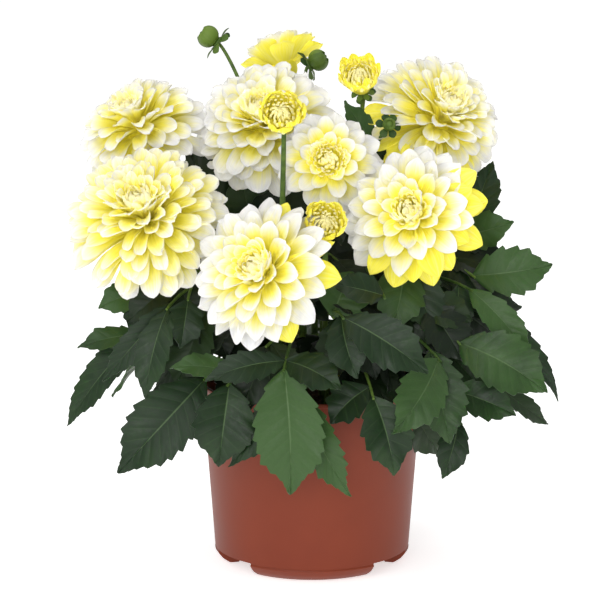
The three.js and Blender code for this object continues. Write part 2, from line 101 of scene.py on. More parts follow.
class Skin:
    """Gathers closed sheets, tubes and balls, in mm, and turns them into one mesh."""

    def __init__(self):
        self.points, self.quads, self.triangles = [], [], []
        self.quad_stuff, self.triangle_stuff = [], []
        self.fields = {name: [] for name in FIELDS}
        self.count = 0

    def add(self, points, quads=None, triangles=None, stuff=0, **fields):
        points = np.asarray(points, dtype=float).reshape(-1, 3)
        for name in FIELDS:
            value = np.broadcast_to(np.asarray(fields.get(name, 0.0), dtype=float), len(points))
            self.fields[name].append(value)
        if quads is not None and len(quads):
            self.quads.append(np.asarray(quads) + self.count)
            self.quad_stuff.append(np.full(len(quads), stuff))
        if triangles is not None and len(triangles):
            self.triangles.append(np.asarray(triangles) + self.count)
            self.triangle_stuff.append(np.full(len(triangles), stuff))
        self.points.append(points)
        self.count += len(points)

    def piece(self, name, materials, sharp=55):
        """Makes the Blender object."""
        quads = np.concatenate(self.quads or [np.zeros((0, 4), int)])
        triangles = np.concatenate(self.triangles or [np.zeros((0, 3), int)])
        mesh = bpy.data.meshes.new(name)
        points = np.concatenate(self.points) * MM
        mesh.vertices.add(len(points))
        mesh.vertices.foreach_set("co", points.astype(np.float32).ravel())
        corners = np.concatenate([quads.ravel(), triangles.ravel()])
        mesh.loops.add(len(corners))
        mesh.loops.foreach_set("vertex_index", corners.astype(np.int32))
        starts = np.concatenate([
            np.arange(len(quads)) * 4,
            len(quads) * 4 + np.arange(len(triangles)) * 3,
        ])
        mesh.polygons.add(len(starts))
        mesh.polygons.foreach_set("loop_start", starts.astype(np.int32))
        stuff = np.concatenate([*self.quad_stuff, *self.triangle_stuff])
        mesh.polygons.foreach_set("material_index", stuff.astype(np.int32))
        mesh.polygons.foreach_set("use_smooth", np.ones(len(starts), dtype=bool))
        mesh.update(calc_edges=True)
        mesh.set_sharp_from_angle(angle=math.radians(sharp))
        for field, values in self.fields.items():
            layer = mesh.attributes.new(field, "FLOAT", "POINT")
            layer.data.foreach_set("value", np.concatenate(values).astype(np.float32))
        for made in materials:
            mesh.materials.append(made)
        made_piece = bpy.data.objects.new(name, mesh)
        bpy.context.scene.collection.objects.link(made_piece)
        return made_piece


def sheet_faces(rows, columns):
    """Quads of a closed thin sheet: its front, its back and its rim."""
    at = np.arange(rows * columns).reshape(rows, columns)
    front = np.stack([at[:-1, :-1], at[1:, :-1], at[1:, 1:], at[:-1, 1:]], axis=-1).reshape(-1, 4)
    back = front[:, ::-1] + rows * columns
    loop = np.concatenate([at[:, 0], at[-1, 1:], at[-2::-1, -1], at[0, -2:0:-1]])
    following = np.roll(loop, -1)
    rim = np.stack([following, loop, loop + rows * columns, following + rows * columns], axis=-1)
    return np.concatenate([front, back, rim])


def add_sheet(skin, grid, thickness, stuff=0, **fields):
    """Adds a closed sheet round a grid of points. thickness is one number or one for each point."""
    rows, columns, _ = grid.shape
    normals = np.cross(np.gradient(grid, axis=0), np.gradient(grid, axis=1))
    normals /= np.maximum(np.linalg.norm(normals, axis=2, keepdims=True), 1e-9)
    offset = normals * (np.broadcast_to(thickness, (rows, columns)) / 2)[..., None]
    points = np.concatenate([(grid + offset).reshape(-1, 3), (grid - offset).reshape(-1, 3)])
    doubled = {
        name: np.tile(np.broadcast_to(value, (rows, columns)).ravel(), 2) for name, value in fields.items()
    }
    doubled["under"] = np.repeat([0.0, 1.0], rows * columns)
    skin.add(points, quads=sheet_faces(rows, columns), stuff=stuff, **doubled)


def ring_faces(rings, sides):
    """Quads between rings of points, and the triangles from the end rings to the two points after them."""
    index = np.arange(rings * sides).reshape(rings, sides)
    ahead = np.roll(index, -1, axis=1)
    quads = np.stack([index[:-1], ahead[:-1], ahead[1:], index[1:]], axis=-1).reshape(-1, 4)
    first, last = rings * sides, rings * sides + 1
    caps = [[ahead[0, k], index[0, k], first] for k in range(sides)]
    caps += [[index[-1, k], ahead[-1, k], last] for k in range(sides)]
    return quads, caps


def add_tube(skin, path, radii, sides=12, stuff=0, **fields):
    """Adds a round tube along a path of points, with a rounded cap at each end."""
    path = np.asarray(path)
    radii = np.broadcast_to(np.asarray(radii, dtype=float), len(path))
    tangents = np.gradient(path, axis=0)
    tangents /= np.linalg.norm(tangents, axis=1, keepdims=True)
    side = unit(np.cross(tangents[0], vec(0.3, 1, 0.2)))
    around = np.arange(sides) / sides * 2 * math.pi
    rings = []
    for at, tangent, radius in zip(path, tangents, radii):
        side = unit(side - tangent * side.dot(tangent))
        other = np.cross(tangent, side)
        rings.append(at + radius * (np.outer(np.cos(around), side) + np.outer(np.sin(around), other)))
    rings = np.array(rings)
    quads, caps = ring_faces(len(path), sides)
    ends = np.array([
        path[0] - tangents[0] * radii[0] * 0.4,
        path[-1] + tangents[-1] * radii[-1] * 0.4,
    ])
    share = np.concatenate([np.repeat(np.linspace(0, 1, len(path)), sides), [0, 1]])
    skin.add(np.concatenate([rings.reshape(-1, 3), ends]), quads=quads, triangles=caps, stuff=stuff,
             along=share, **fields)


def add_ball(skin, centre, radius, matrix=np.eye(3), rings=12, sides=18, flatten=1.0, stuff=0, **fields):
    """Adds a ball, flattened along its own up direction."""
    angles = np.linspace(0, math.pi, rings + 1)[1:-1]
    around = np.arange(sides) / sides * 2 * math.pi
    local = np.stack([
        np.outer(np.sin(angles), np.cos(around)),
        np.outer(np.sin(angles), np.sin(around)),
        np.outer(np.cos(angles), np.ones(sides)) * flatten,
    ], axis=-1).reshape(-1, 3)
    local = np.concatenate([local, [[0, 0, flatten], [0, 0, -flatten]]]) * radius
    index = np.arange((rings - 1) * sides).reshape(rings - 1, sides)
    ahead = np.roll(index, -1, axis=1)
    quads = np.stack([index[:-1], index[1:], ahead[1:], ahead[:-1]], axis=-1).reshape(-1, 4)
    top, bottom = len(local) - 2, len(local) - 1
    caps = [[top, index[0, k], ahead[0, k]] for k in range(sides)]
    caps += [[bottom, ahead[-1, k], index[-1, k]] for k in range(sides)]
    skin.add(local @ matrix.T + centre, quads=quads, triangles=caps, stuff=stuff, **fields)


# Paths

def bezier(points, count=24):
    """Points of a Bezier curve of two or three degrees."""
    share = np.linspace(0, 1, count)[:, None]
    points = [np.asarray(point) for point in points]
    while len(points) > 1:
        points = [a * (1 - share) + b * share for a, b in zip(points[:-1], points[1:])]
    return points[0]


class Path:
    """A run of points that is asked for a place by its share of the length."""

    def __init__(self, points):
        self.points = np.asarray(points)
        steps = np.linalg.norm(np.diff(self.points, axis=0), axis=1)
        self.reach = np.concatenate([[0], np.cumsum(steps)])

    def at(self, share):
        wanted = np.asarray(share) * self.reach[-1]
        return np.stack([np.interp(wanted, self.reach, self.points[:, k]) for k in range(3)], axis=-1)


# Petals

PETAL_ROWS = 13
PETAL_COLUMNS = 9
CORE_SEAT = 0.85
ROOT_SHARE = 0.4
PETAL_BASE = 0.34
PETAL_THICK = 0.5
EYE_ROWS = 8
EYE_COLUMNS = 5
EYE_THICK = 0.4
EYE_SEED = 100


def petal_outline(along, widest, blunt):
    """The half-width of a petal along its length, 1 at its widest. A blunt petal has a rounder tip."""
    opening = PETAL_BASE + (1 - PETAL_BASE) * smooth(along / widest)
    beyond = np.clip((along - widest) / (1 - widest), 0, 1)
    tip = np.maximum(1 - beyond ** lerp((1.5, 3.0), blunt), 0) ** lerp((0.95, 0.5), blunt)
    return np.where(along < widest, opening, np.maximum(tip, 0.05))


def petal_grid(petal, rows=PETAL_ROWS, columns=PETAL_COLUMNS):
    """Points of a petal in its flower's own frame, and each row's and column's share."""
    along = 1 - (1 - np.linspace(0, 1, rows)) ** 1.5
    lean = petal["lean"] + petal["bend"] * along + petal["curl"] * along ** 4
    middle = (lean[1:] + lean[:-1]) / 2
    steps = np.diff(along) * petal["length"]
    out = petal["root_r"] + np.concatenate([[0], np.cumsum(np.sin(middle) * steps)])
    up = petal["root_z"] + np.concatenate([[0], np.cumsum(np.cos(middle) * steps)])
    across = np.linspace(-1, 1, columns)
    width = petal_outline(along, petal["widest"], petal["blunt"])
    share = across[None, :] * width[:, None]
    half = petal["half"]
    roll = np.maximum(2 * petal["cup"] * (1 + petal["quill"] * (1 - along) ** 2), 0.05)[:, None]
    side = half * np.sin(roll * share) / roll
    depth = half * (1 - np.cos(roll * share)) / roll
    grooves = np.cos(across * math.pi * 3)[None, :] * smooth(along * 2)[:, None]
    depth = depth - half * petal["groove"] * grooves
    wave = np.sin(2 * math.pi * (along * 1.7 + petal["tone"]))[:, None] * (across * np.abs(across))[None, :]
    depth = depth + half * petal["ruffle"] * wave * along[:, None]
    twist = (petal["twist"] * along)[:, None]
    side, depth = (
        side * np.cos(twist) - depth * np.sin(twist),
        side * np.sin(twist) + depth * np.cos(twist),
    )
    r = out[:, None] - np.cos(lean)[:, None] * depth
    z = up[:, None] + np.sin(lean)[:, None] * depth
    c, s = math.cos(petal["turn"]), math.sin(petal["turn"])
    return np.stack([r * c - side * s, r * s + side * c, z], axis=-1), along, across


def add_petal(
    skin, petal, matrix, heart, rows=PETAL_ROWS, columns=PETAL_COLUMNS, thick=PETAL_THICK, stuff=0, eye=0.0
):
    grid, along, across = petal_grid(petal, rows, columns)
    edge = 1 - 0.45 * np.abs(across)[None, :] ** 3
    thickness = thick * edge * (1 - 0.35 * along)[:, None]
    add_sheet(
        skin, grid @ matrix.T + heart, thickness, stuff=stuff,
        along=along[:, None], across=across[None, :], tone=petal["tone"], gold=petal["gold"], eye=eye,
    )


def ring_petals(radius, kind, seed):
    """Petals of one kind from the outermost to the innermost, set at the golden angle.

    Each pair in kind is for the outermost and then the innermost petal. Angles are in degrees from
    the way the flower faces, and lengths are shares of its radius.
    """
    count = kind["count"]
    core = kind["core"]
    root_share = core * ROOT_SHARE
    petals = []
    for index in range(count):
        share = index / max(count - 1, 1)
        chord = math.radians(lerp(kind["lean"], share ** kind.get("crowd", 1.15)))
        loose = kind.get("loose", 1.0)
        chord += math.radians(spread(seed, index, 4.5 * loose))
        bend = math.radians(lerp(kind["bend"], share) + spread(seed + 1, index, 12 * loose))
        length = radius * (lerp(kind["length"], share * share) - root_share)
        turn = index * GOLDEN_ANGLE + spread(seed + 2, index, 0.1 * loose)
        skew_angle, skew_share = kind.get("skew", (0, 0))
        length *= 1 + skew_share * math.cos(turn - math.radians(skew_angle))
        petals.append({
            "turn": turn,
            "lean": chord - bend / 2,
            "bend": bend,
            "curl": math.radians(lerp(kind.get("curl", (0, 0)), share) + spread(seed + 3, index, 16 * loose)),
            "length": length * (1 + spread(seed + 4, index, 0.06)),
            "half": radius * lerp(kind["width"], share) * (1 + spread(seed + 5, index, 0.09)),
            "cup": lerp(kind["cup"], share) * (1 + spread(seed + 6, index, 0.2)),
            "quill": kind.get("quill", 1.0),
            "groove": kind.get("groove", 0.03),
            "ruffle": kind.get("ruffle", 0.12),
            "twist": spread(seed + 7, index, 0.3 * loose),
            "widest": lerp(kind.get("widest", (0.7, 0.7)), share),
            "blunt": lerp(kind.get("blunt", (0.6, 0.8)), share),
            "root_r": radius * root_share * math.sin(chord),
            "root_z": radius * (core * CORE_SEAT + root_share * math.cos(chord)),
            "tone": chance(seed + 8, index),
            "gold": petal_gold(kind, share, index, seed),
        })
    return petals


def petal_gold(kind, share, index, seed):
    """How far up a petal its yellow reaches, more on the side of the flower that is still yellow."""
    gold = lerp(kind["gold"], share) + spread(seed + 9, index, 0.07)
    side = kind.get("side")
    if side:
        turn = index * GOLDEN_ANGLE
        facing = math.cos(turn - math.radians(side["angle"]))
        near = float(smooth((facing - side["narrow"]) / 0.25))
        gold += near * side["more"] * float(smooth((side["depth"] - share) / 0.06))
    return gold


# How flowers open
FULL = {
    "lean": (104, 16), "bend": (28, 6), "length": (1.02, 0.74), "cup": (0.14, 0.4), "core": 0.24,
    "quill": 3.0, "blunt": (0.85, 0.95), "widest": (0.78, 0.8), "curl": (20, 10), "gold": (0.76, 0.88),
    "loose": 1.15, "ruffle": 0.16,
}
FULL_EYE = {
    "count": 44, "lean": (19, 1), "bend": (-30, -60), "length": (0.76, 0.62), "width": (0.075, 0.045),
    "cup": (0.5, 0.7), "core": 0.24, "blunt": (0.8, 0.8), "gold": (0.78, 0.84), "curl": (-14, -20),
    "loose": 0.6,
}
OPEN = {
    "lean": (98, 24), "bend": (20, -20), "length": (1.05, 0.6), "cup": (0.12, 0.4), "core": 0.26,
    "quill": 2.4, "blunt": (0.42, 0.7), "widest": (0.64, 0.72), "curl": (14, 4), "gold": (0.6, 0.82),
}
OPEN_EYE = {
    "count": 60, "lean": (32, 1), "bend": (-56, -76), "length": (0.57, 0.47), "width": (0.07, 0.042),
    "cup": (0.6, 0.7), "core": 0.26, "blunt": (0.7, 0.8), "gold": (0.78, 0.84), "curl": (-20, -30),
    "loose": 0.6,
}
CUPPED = {
    "lean": (70, 22), "bend": (-14, -50), "length": (1.05, 0.8), "cup": (0.4, 0.6), "core": 0.26,
    "quill": 1.0, "blunt": (0.5, 0.8), "widest": (0.66, 0.72), "gold": (1.25, 0.35),
}
BUDDING = {
    "lean": (38, 30), "bend": (-112, -124), "length": (1.9, 1.45), "cup": (0.45, 0.5), "core": 0.52,
    "quill": 0.2, "blunt": (0.5, 0.6), "widest": (0.6, 0.62), "gold": (1.5, 1.5), "loose": 0.7,
    "ruffle": 0.04,
}
BUD_EYE = {
    "count": 84, "lean": (50, 3), "bend": (-74, -90), "length": (1.62, 1.3), "width": (0.12, 0.075),
    "cup": (0.5, 0.6), "core": 0.52, "blunt": (0.7, 0.8), "gold": (0.8, 0.66), "curl": (-30, -40),
    "loose": 0.5,
}
CUP_R = {"full": 0.18, "open": 0.18, "cupped": 0.18, "budding": 0.36}
NECK_SHARE = {"full": 0.35, "open": 0.35, "cupped": 0.35, "budding": 0.1}
KINDS = {"full": FULL, "open": OPEN, "cupped": CUPPED, "budding": BUDDING}
EYES = {"full": FULL_EYE, "open": OPEN_EYE, "cupped": FULL_EYE, "budding": BUD_EYE}

# Flowers: heart is where the petals meet, faces is the heading and elevation that the flower faces,
# and foot is where its stem stands in the soil. extra and eye change what the style gives. In them,
# side makes the outer petals on one side yellow, and skew makes the petals on one side longer.
BLOOMS = {
    "left_large": {
        "style": "full", "diameter": 120, "heart": (-114, -60, 262), "faces": (-23, 43), "foot": (-22, -10),
        "count": 150, "width": (0.145, 0.095),
        "extra": {
            "loose": 1.25, "ruffle": 0.22, "blunt": (0.75, 0.9), "gold": (0.8, 0.9), "skew": (190, 0.07),
        },
    },
    "front": {
        "style": "open", "diameter": 108, "heart": (-27, -107, 237), "faces": (-35, 26), "foot": (-8, -26),
        "count": 76, "width": (0.215, 0.12),
        "extra": {"side": {"angle": -20, "narrow": 0.1, "more": 1.0, "depth": 0.1}},
    },
    "right": {
        "style": "open", "diameter": 102, "heart": (76, -60, 271), "faces": (-17, 25), "foot": (24, -16),
        "count": 68, "width": (0.23, 0.12),
        "extra": {"side": {"angle": -50, "narrow": 0.05, "more": 1.1, "depth": 0.4}},
    },
    "right_top": {
        "style": "full", "diameter": 108, "heart": (91, 20, 323), "faces": (27, 48), "foot": (34, 6),
        "count": 120, "width": (0.17, 0.105),
        "extra": {
            "side": {"angle": -120, "narrow": 0.3, "more": 0.5, "depth": 0.3},
            "gold": (0.7, 0.84), "skew": (160, 0.14), "loose": 1.3,
        },
    },
    "middle_top": {
        "style": "full", "diameter": 108, "heart": (-34, 14, 321), "faces": (-13, 46), "foot": (-6, 4),
        "count": 104, "width": (0.19, 0.12),
        "extra": {"blunt": (0.7, 0.85), "gold": (0.66, 0.82), "skew": (10, 0.06)},
    },
    "left_top": {
        "style": "full", "diameter": 98, "heart": (-126, 30, 318), "faces": (-34, 50), "foot": (-28, 16),
        "count": 108, "width": (0.175, 0.11), "extra": {"gold": (0.7, 0.84), "skew": (115, -0.17)},
    },
    "centre_small": {
        "style": "open", "diameter": 74, "heart": (13, -42, 310), "faces": (-5, 20), "foot": (8, -6),
        "count": 36, "width": (0.25, 0.16), "extra": {"gold": (0.56, 0.8), "lean": (100, 40)},
        "eye": {"count": 84, "lean": (48, 1), "length": (0.66, 0.5), "width": (0.08, 0.05)},
    },
    "back_cupped": {
        "style": "cupped", "diameter": 76, "heart": (-18, 84, 359), "faces": (-140, 62), "foot": (2, 28),
        "count": 30, "width": (0.3, 0.16), "extra": {"length": (0.94, 0.72)},
    },
    "bud_right": {
        "style": "budding", "diameter": 30, "heart": (37, -12, 361), "faces": (-12, 44), "foot": (18, 18),
        "count": 18, "width": (0.42, 0.26), "extra": {"curl": (10, -18)},
    },
    "bud_middle": {
        "style": "budding", "diameter": 32, "heart": (-21, -78, 348), "faces": (-3, 22), "foot": (-24, -46),
        "count": 18, "width": (0.42, 0.26), "extra": {"curl": (-24, -16)},
    },
    "bud_front": {
        "style": "budding", "diameter": 30, "heart": (9, -93, 273), "faces": (0, 20), "foot": (10, -30),
        "count": 18, "width": (0.42, 0.26), "extra": {"curl": (-24, -16)},
    },
}


def make_bloom(name, bloom, order, material):
    style = bloom["style"]
    radius = bloom["diameter"] / 2
    matrix = turn_to(direction(*bloom["faces"]))
    heart = vec(*bloom["heart"])
    kind = {**KINDS[style], "width": bloom["width"], "count": bloom["count"], **bloom["extra"]}
    seed = order * 17 + 3
    skin = Skin()
    add_ball(
        skin, heart + matrix @ (UP * radius * kind["core"] * CORE_SEAT), radius * kind["core"] * 0.98,
        matrix, along=0.1, gold=1.2, tone=0.4,
    )
    for petal in ring_petals(radius, kind, seed):
        add_petal(skin, petal, matrix, heart)
    for petal in ring_petals(radius, {**EYES[style], **bloom.get("eye", {})}, seed + EYE_SEED):
        add_petal(skin, petal, matrix, heart, EYE_ROWS, EYE_COLUMNS, EYE_THICK, eye=1.0)
    opening = style == "budding"
    piece = skin.piece(("petals_of_opening_" if opening else "petals_of_") + name, [material])
    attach(piece, "root")
    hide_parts(("opening_" if opening else "bloom_") + name)


# Leaves

LEAF_ARCH = 0.08
LEAF_FOLD = 0.2
LEAF_TWIST = 0.25
LEAF_LIFT = 0.6
LEAFLET_STEP = 0.12
STALK_SINK = 0.96
STALK_CLIMB = 0.12
STALK_BEND = 0.6
STALK_CLEAR_Z = 153
STALK_RADII = (1.5, 1.0)
TOOTH_PITCH = 8.0
TOOTH_DEEP = 0.19
FRONT_WIDER = 1.1
TOOTH_PHASES = (0.0, 0.35, 0.65, 0.86, 0.97)
TOOTH_SHAPE = (0.0, 0.35, 0.7, 1.0, 0.45)
TOOTH_PEAK = 0.86
VEIN_SLANT = 0.8
LEAF_COLUMNS = (-1, -0.84, -0.64, -0.42, -0.22, -0.07, 0, 0.07, 0.22, 0.42, 0.64, 0.84, 1)


def leaf_outline(along):
    """The half-width of a leaflet along its length: an oval that is drawn out to a point."""
    along = np.clip(along, 0, 1)
    return np.sin(math.pi * along) ** 0.7 * (1 - 0.45 * smooth((along - 0.7) / 0.25))


def add_leaflet(skin, base, tip, width, facing, twist, seed, shade=0.0, stuff=1):
    """A toothed leaflet with a sunken midrib and veins that run out to its teeth."""
    span = tip - base
    length = np.linalg.norm(span)
    ahead = span / length
    side = spin(ahead, twist) @ unit(np.cross(facing, span))
    normal = unit(np.cross(span, side))
    teeth = int(min(max(round(length / TOOTH_PITCH), 5), 11))
    starts = (np.arange(teeth)[:, None] + np.array(TOOTH_PHASES)[None, :]).ravel() / teeth
    shapes = np.tile(TOOTH_SHAPE, teeth)
    order = np.append(starts, 1.0)
    tooth = np.append(shapes, 0.0)
    across = np.array(LEAF_COLUMNS, dtype=float)
    size = np.abs(across)
    slant = VEIN_SLANT * order * (1 - order)
    slanted = order[:, None] + slant[:, None] * (size * (0.85 + 0.15 * size))[None, :]
    deep = TOOTH_DEEP * (0.8 + 0.5 * chance(seed, 5))
    jitter = np.array([1 + spread(seed, 20 + int(k), 0.25) for k in order * teeth])
    edge = leaf_outline(order + slant) * width / 2
    edge = edge * (1 - deep / 2) + tooth * jitter * deep * np.minimum(edge, width * 0.4)
    edge = np.maximum(edge, 0.5)
    out = np.sign(across)[None, :] * size[None, :] * edge[:, None]
    share = np.abs(out) / (width / 2)
    lift = length * LEAF_ARCH * 4 * slanted * (1 - slanted) + share * LEAF_FOLD * width / 2
    between = np.mod(order * teeth - TOOTH_PEAK, 1.0)
    puff = np.sin(math.pi * between)[:, None] * np.sin(math.pi * np.clip(size, 0, 1) ** 0.8)[None, :]
    lift = lift + puff * width * 0.014
    lift = lift - np.exp(-((size / 0.06) ** 2))[None, :] * width * 0.014 * (1 - order)[:, None]
    wave = np.sin(2 * math.pi * (order * 1.6 + chance(seed, 1)))[:, None] * (across * size)[None, :]
    lift = lift + wave * width * 0.035
    ripple = np.sin(2 * math.pi * (order * 2.7 + chance(seed, 2)))[:, None] * (size ** 2)[None, :]
    lift = lift + ripple * width * 0.03
    sway = spread(seed, 3, 0.05) * length * 4 * order * (1 - order)
    grid = (
        base
        + slanted[..., None] * span
        + lift[..., None] * normal
        + (out + sway[:, None])[..., None] * side
    )
    thickness = 0.45 + 0.9 * np.exp(-((size / 0.05) ** 2))[None, :] * (1 - order)[:, None]
    # The shade share goes into the eye field, which the leaf material uses to darken the leaflet as painted
    # shade.
    add_sheet(
        skin, grid, thickness, stuff=stuff,
        along=(order * teeth - TOOTH_PEAK + 8)[:, None], across=across[None, :],
        tone=chance(seed, 4), eye=shade,
    )


def sprig(start, node, *leaflets):
    """A leaf by the share of its stem where its stalk starts, and where its leaflets spread from it.

    Each leaflet is its tip's x, y and z and its width.
    """
    return {"from": start, "node": node, "leaflets": leaflets}


# Compound leaves that the front shows, by the stem that carries them.
FRONT_LEAVES = {
    "left_large": [
        sprig(0.45, (-79, -80, 156), (-142, -94, 90, 43)),
        sprig(0.7, (-106, -80, 209), (-121, -94, 146, 24), (-153, -84, 156, 19)),
        sprig(0.6, (-130, -52, 183), (-173, -58, 176, 18), (-182, -52, 115, 25)),
        sprig(0.8, (-126, -40, 214), (-158, -46, 203, 21), (-135, -50, 185, 19)),
        sprig(0.75, (-91, -72, 214), (-96, -84, 181, 25)),
    ],
    "front": [
        sprig(0.62, (-21, -112, 170), (-16, -116, 80, 47), (-77, -118, 164, 21), (20, -124, 159, 27)),
        sprig(0.42, (-9, -100, 151), (28, -110, 77, 24), (-61, -106, 98, 24)),
        sprig(0.5, (-62, -98, 156), (-68, -106, 98, 41), (-103, -98, 169, 19)),
    ],
    "right": [
        sprig(0.5, (93, -88, 172), (57, -124, 127, 33), (100, -98, 113, 36)),
        sprig(0.35, (44, -104, 148), (59, -112, 93, 34), (13, -100, 128, 29)),
        sprig(0.6, (109, -70, 180), (171, -86, 148, 41)),
    ],
    "right_top": [
        sprig(0.5, (118, -50, 217), (160, -64, 170, 22), (109, -57, 180, 19), (183, -44, 132, 18)),
        sprig(0.6, (121, -34, 224), (178, -34, 234, 34)),
        sprig(0.7, (117, -8, 246), (136, 10, 305, 29), (150, -20, 264, 26)),
        sprig(0.3, (105, -60, 142), (150, -68, 127, 27)),
        sprig(0.2, (111, -56, 117), (96, -68, 79, 22)),
    ],
    "centre_small": [
        sprig(0.7, (74, -40, 237), (66, -52, 199, 42)),
    ],
    "middle_top": [
        sprig(0.6, (-73, -46, 212), (-80, -58, 192, 24), (-59, -36, 253, 34)),
    ],
    "bud_right": [
        sprig(0.8, (48, -12, 317), (24, -2, 352, 17)),
        sprig(0.5, (52, -95, 220), (14, -102, 232, 23)),
        sprig(0.6, (68, -52, 239), (56, -74, 191, 33), (91, -64, 184, 31)),
    ],
    "bud_front": [
        sprig(0.5, (15, -76, 202), (29, -64, 234, 36)),
        sprig(0.5, (22, -114, 209), (82, -124, 171, 33), (32, -126, 168, 28)),
    ],
}

# More leaves in the same form, deeper in the plant, which close the view between the others. Their colour is
# darkened with painted shade.
SHADE_LEAVES = {
    "left_large": [
        sprig(
            0.5, (-80, -58, 204),
            (-100, -66, 146, 36), (-62, -60, 168, 30), (-120, -56, 180, 26), (-118, -50, 140, 28),
        ),
        sprig(0.65, (-104, -54, 226), (-136, -62, 196, 26), (-88, -60, 186, 30)),
    ],
    "front": [
        sprig(0.5, (-34, -84, 182), (-52, -90, 136, 30), (-10, -88, 140, 28)),
    ],
    "middle_top": [
        sprig(0.5, (-48, -30, 214), (-76, -44, 170, 34), (-30, -44, 176, 30), (-60, -30, 186, 28)),
        sprig(0.62, (-46, 4, 250), (-54, -2, 300, 34), (-28, -2, 288, 28), (-80, 2, 286, 32)),
        sprig(0.6, (-66, 6, 246), (-94, 8, 318, 34), (-66, 4, 296, 30)),
        sprig(0.62, (-30, 6, 250), (-6, 4, 300, 30), (12, 6, 284, 26)),
        sprig(0.7, (-40, -10, 258), (-58, -24, 222, 34), (-14, -26, 226, 32), (-78, -14, 246, 30)),
    ],
    "left_top": [
        sprig(0.8, (-84, 20, 270), (-70, -10, 236, 34), (-100, 0, 240, 32)),
        sprig(0.85, (-96, 26, 286), (-72, 20, 268, 30)),
    ],
    "right": [
        sprig(0.5, (84, -60, 206), (110, -70, 168, 34), (70, -66, 166, 30), (118, -56, 196, 28)),
        sprig(0.5, (112, -24, 198), (158, -6, 196, 24), (142, -8, 170, 28)),
        sprig(0.42, (138, -20, 138), (180, -4, 105, 16)),
        sprig(0.3, (72, -26, 124), (96, -14, 84, 30)),
    ],
    "right_top": [
        sprig(0.5, (108, -20, 236), (134, -34, 192, 32), (96, -30, 196, 30), (146, -22, 224, 28)),
        sprig(0.3, (96, -30, 172), (128, -44, 138, 32), (84, -44, 136, 28)),
        sprig(0.62, (104, 0, 262), (140, -8, 236, 30), (92, -4, 226, 28)),
    ],
    "centre_small": [
        sprig(0.5, (30, -66, 196), (46, -76, 156, 30), (10, -72, 158, 28)),
        sprig(0.6, (52, -30, 230), (80, -44, 206, 30), (34, -40, 200, 28)),
    ],
    "bud_right": [
        sprig(0.66, (14, -10, 258), (22, -26, 222, 30), (-8, -24, 228, 28)),
        sprig(0.74, (40, 4, 276), (58, 2, 320, 28)),
    ],
}

# Leaves of the sides and back, each by where its stalk leaves the stem, its heading, height, reach
# from the middle and drop.
BACK_LEAVES = {
    "right_top": [(0.35, 82, 178, 150, 62), (0.68, 112, 228, 160, 30)],
    "back_cupped": [
        (0.25, 134, 168, 152, 66),
        (0.5, 152, 225, 150, 34),
        (0.3, 178, 165, 158, 70),
        (0.55, 195, 245, 135, 26),
    ],
    "left_top": [(0.3, 222, 192, 152, 56), (0.5, 238, 226, 160, 36), (0.35, 262, 180, 155, 60)],
}

# Leaves inside the plant, in the same way. They fill the shade between the stems, and their colour is
# darkened with painted shade.
INNER_LEAVES = {
    "left_large": [
        (0.3, -62, 186, 112, 30), (0.42, -38, 168, 104, 34), (0.5, -80, 214, 118, 20),
        (0.4, -50, 196, 118, 34), (0.55, -66, 230, 100, 26), (0.35, -74, 176, 132, 30),
    ],
    "left_top": [(0.45, -100, 214, 128, 34), (0.6, -70, 236, 112, 24), (0.3, -130, 176, 120, 36)],
    "middle_top": [
        (0.3, -20, 176, 84, 22), (0.5, -50, 218, 88, 20), (0.62, 30, 236, 74, 18), (0.7, -46, 262, 84, 22),
        (0.7, 150, 266, 80, 18), (0.74, 20, 276, 60, 24),
    ],
    "centre_small": [
        (0.3, 10, 180, 84, 26), (0.5, -12, 214, 78, 22), (0.4, 50, 196, 90, 26), (0.66, -60, 254, 78, 26),
        (0.62, 70, 254, 80, 24), (0.55, 20, 232, 84, 28),
    ],
    "front": [(0.3, -30, 160, 94, 28), (0.5, -70, 182, 96, 26), (0.45, 60, 176, 90, 24)],
    "right": [(0.3, 34, 166, 100, 34), (0.42, 66, 186, 112, 30)],
    "right_top": [(0.25, 60, 172, 118, 34), (0.4, 40, 206, 110, 26), (0.55, 78, 232, 118, 26)],
    "back_cupped": [(0.35, 160, 196, 110, 30), (0.45, 110, 214, 112, 26), (0.4, -160, 206, 112, 28)],
    "bud_right": [(0.35, 120, 186, 100, 26)],
}
BACK_NODE_SHARE = 0.52
SIDE_ANGLE = 58
SIDE_SHARE = 0.78
BACK_WIDTHS = (0.5, 0.36)
INNER_WIDTHS = (0.72, 0.56)


def spread_leaf(numbers, widths):
    """A leaf that spreads a long leaflet outwards and a shorter one to each side."""
    start_on_stem, heading, height, reach, drop = numbers
    start = reach * BACK_NODE_SHARE
    length = reach - start
    node = direction(heading, 0) * start + UP * height

    def leaflet(turn, share, width):
        tip = direction(heading + turn, 0) * length * share + node
        return (tip[0], tip[1], height - drop * share, width)

    leaflets = [
        leaflet(0, 1, length * widths[0]),
        leaflet(SIDE_ANGLE, SIDE_SHARE, length * widths[1]),
        leaflet(-SIDE_ANGLE, SIDE_SHARE, length * widths[1]),
    ]
    return {"from": start_on_stem, "heading": heading, "node": tuple(node), "leaflets": leaflets}


